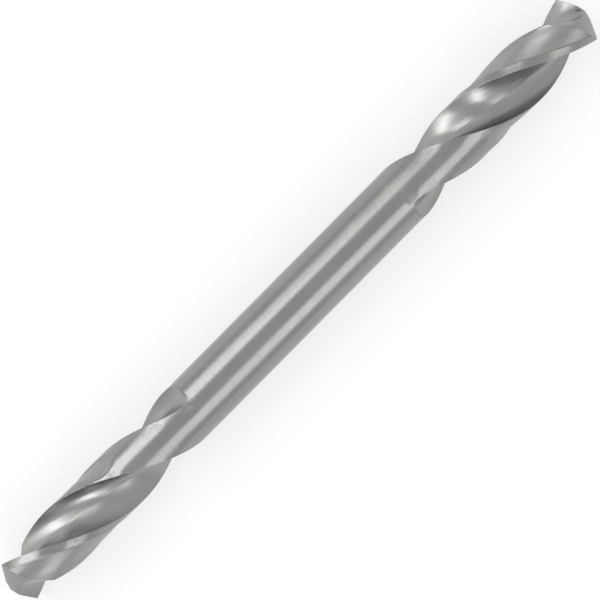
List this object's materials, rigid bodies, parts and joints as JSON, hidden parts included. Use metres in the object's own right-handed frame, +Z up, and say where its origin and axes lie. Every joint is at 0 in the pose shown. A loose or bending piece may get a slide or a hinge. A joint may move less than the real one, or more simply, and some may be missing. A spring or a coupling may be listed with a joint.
{
  "type": "double-ended drill bit",
  "caption": "Double-ended stub drill bit: helical flutes and a split point at each end, with a plain round shank between them.",
  "frame": {"origin": "middle of the bit's length, on its axis", "axes": "+X along the drill axis, towards the point at the picture's upper right; +Z up, square to the axis, towards the picture's camera; +Y completes the right-handed set"},
  "size_m": [0.055, 0.0042, 0.0042],
  "materials": {
    "steel": "bright ground high speed steel, with fine grinding lines along the flutes and round the shank"
  },
  "bodies": {
    "root": {"drill_bit": "steel"}
  },
  "joints": []
}
